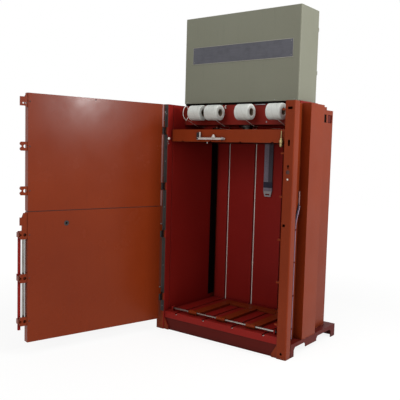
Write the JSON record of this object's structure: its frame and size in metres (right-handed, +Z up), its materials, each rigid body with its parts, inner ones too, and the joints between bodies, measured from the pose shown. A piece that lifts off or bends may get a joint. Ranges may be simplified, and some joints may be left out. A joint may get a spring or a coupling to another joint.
{
  "type": "recycling baler",
  "caption": "Upright baler with side-hung front doors, press plate, tape spools over the chamber and a hooded power pack on top.",
  "frame": {"origin": "on the floor under the front sill, midway between the posts", "axes": "+X to the right seen from the front, +Y from the doors to the back wall, +Z up"},
  "size_m": [1.695, 2.2546, 2.8703],
  "materials": {
    "paint_red": "semi-gloss red-brown machine paint",
    "paint_deep_red": "semi-gloss dark red paint",
    "cover_paint": "satin grey-beige paint",
    "plate_paint": "satin blue-grey plate",
    "grey_parts": "grey enamel",
    "bright_steel": "bright drawn steel",
    "black_parts": "black",
    "brass_fitting": "dull brass",
    "webbing": "blue-grey webbing",
    "tape": "white woven baling tape",
    "plastic_white": "white button"
  },
  "bodies": {
    "frame": {"base_frame": "paint_red", "chamber_floor": "paint_deep_red", "left_post": "paint_red", "right_post": "paint_red", "left_side_wall": "paint_deep_red", "right_side_wall": "paint_deep_red", "left_side_column": "paint_red", "right_side_column": "paint_red", "left_corner_post": "paint_red", "right_corner_post": "paint_red", "back_wall": "paint_deep_red", "back_rib_1": "paint_red", "back_rib_2": "paint_red", "back_rib_3": "paint_red", "crosshead": "paint_deep_red", "top_plate": "paint_deep_red", "top_cover": "cover_paint", "name_plate": "plate_paint", "press_barrel": "grey_parts", "barrel_gland": "bright_steel", "oil_tank": "grey_parts", "pump": "grey_parts", "pump_motor": "grey_parts", "lower_door_pin_1": "bright_steel", "lower_door_pin_2": "bright_steel", "upper_door_pin_1": "bright_steel", "upper_door_pin_2": "bright_steel", "spool_holder_1": "black_parts", "spool_holder_2": "black_parts", "spool_holder_3": "black_parts", "spool_holder_4": "black_parts", "tape_1": "tape", "tape_2": "tape", "tape_3": "tape", "tape_4": "tape", "switch_conduit": "bright_steel", "ejector_shaft": "bright_steel"},
    "platen": {"platen": "paint_red", "piston_rod": "bright_steel", "press_piston": "bright_steel", "left_guide_shoe": "black_parts", "right_guide_shoe": "black_parts", "catch_bracket": "black_parts", "beam_fitting": "brass_fitting", "strap_hanger": "paint_red", "lifting_strap": "webbing", "strap_hook": "bright_steel"},
    "catch": {"catch_arm": "bright_steel", "catch_knob": "black_parts"},
    "upper_door": {"upper_door": "paint_red"},
    "lower_door": {"lower_door": "paint_red", "guide_rod": "bright_steel", "door_catch": "black_parts"},
    "lock_bar": {"lock_bar": "paint_deep_red"},
    "ejector": {"ejector_frame": "paint_red"},
    "door_switch": {"switch_plunger": "plastic_white"},
    "spool_1": {"tape_spool_1": "tape"},
    "spool_2": {"tape_spool_2": "tape"},
    "spool_3": {"tape_spool_3": "tape"},
    "spool_4": {"tape_spool_4": "tape"}
  },
  "joints": [
    {"name": "upper_door_hinge", "type": "hinge", "parent": "frame", "child": "upper_door", "pos_m": [-0.635, -0.07, 1.6], "axis": [0, 0, 1], "range_deg": [-50, 104.3]},
    {"name": "lower_door_hinge", "type": "hinge", "parent": "frame", "child": "lower_door", "pos_m": [-0.635, -0.07, 0.6], "axis": [0, 0, 1], "range_deg": [-50, 104.3]},
    {"name": "platen_slide", "type": "slide", "parent": "frame", "child": "platen", "axis": [0, 0, 1], "range_m": [-0.65, 0]},
    {"name": "catch_pivot", "type": "hinge", "parent": "platen", "child": "catch", "pos_m": [-0.28, 0, 1.77], "axis": [0, -1, 0], "range_deg": [0, 80]},
    {"name": "lock_bar_slide", "type": "slide", "parent": "lower_door", "child": "lock_bar", "axis": [0, 0, 1], "range_m": [0, 0.05]},
    {"name": "ejector_hinge", "type": "hinge", "parent": "frame", "child": "ejector", "pos_m": [0, 0.035, 0.194], "axis": [1, 0, 0], "range_deg": [0, 50]},
    {"name": "switch_press", "type": "slide", "parent": "frame", "child": "door_switch", "axis": [0, 1, 0], "range_m": [0, 0.006], "stiffness_N_per_m": 400},
    {"name": "spool_1_spin", "type": "hinge", "parent": "frame", "child": "spool_1", "pos_m": [-0.364, 0.09, 2], "axis": [1, 0, 0], "continuous": true},
    {"name": "spool_2_spin", "type": "hinge", "parent": "frame", "child": "spool_2", "pos_m": [-0.181, 0.09, 2], "axis": [1, 0, 0], "continuous": true},
    {"name": "spool_3_spin", "type": "hinge", "parent": "frame", "child": "spool_3", "pos_m": [0.139, 0.09, 2], "axis": [1, 0, 0], "continuous": true},
    {"name": "spool_4_spin", "type": "hinge", "parent": "frame", "child": "spool_4", "pos_m": [0.4465, 0.09, 2], "axis": [1, 0, 0], "continuous": true}
  ]
}
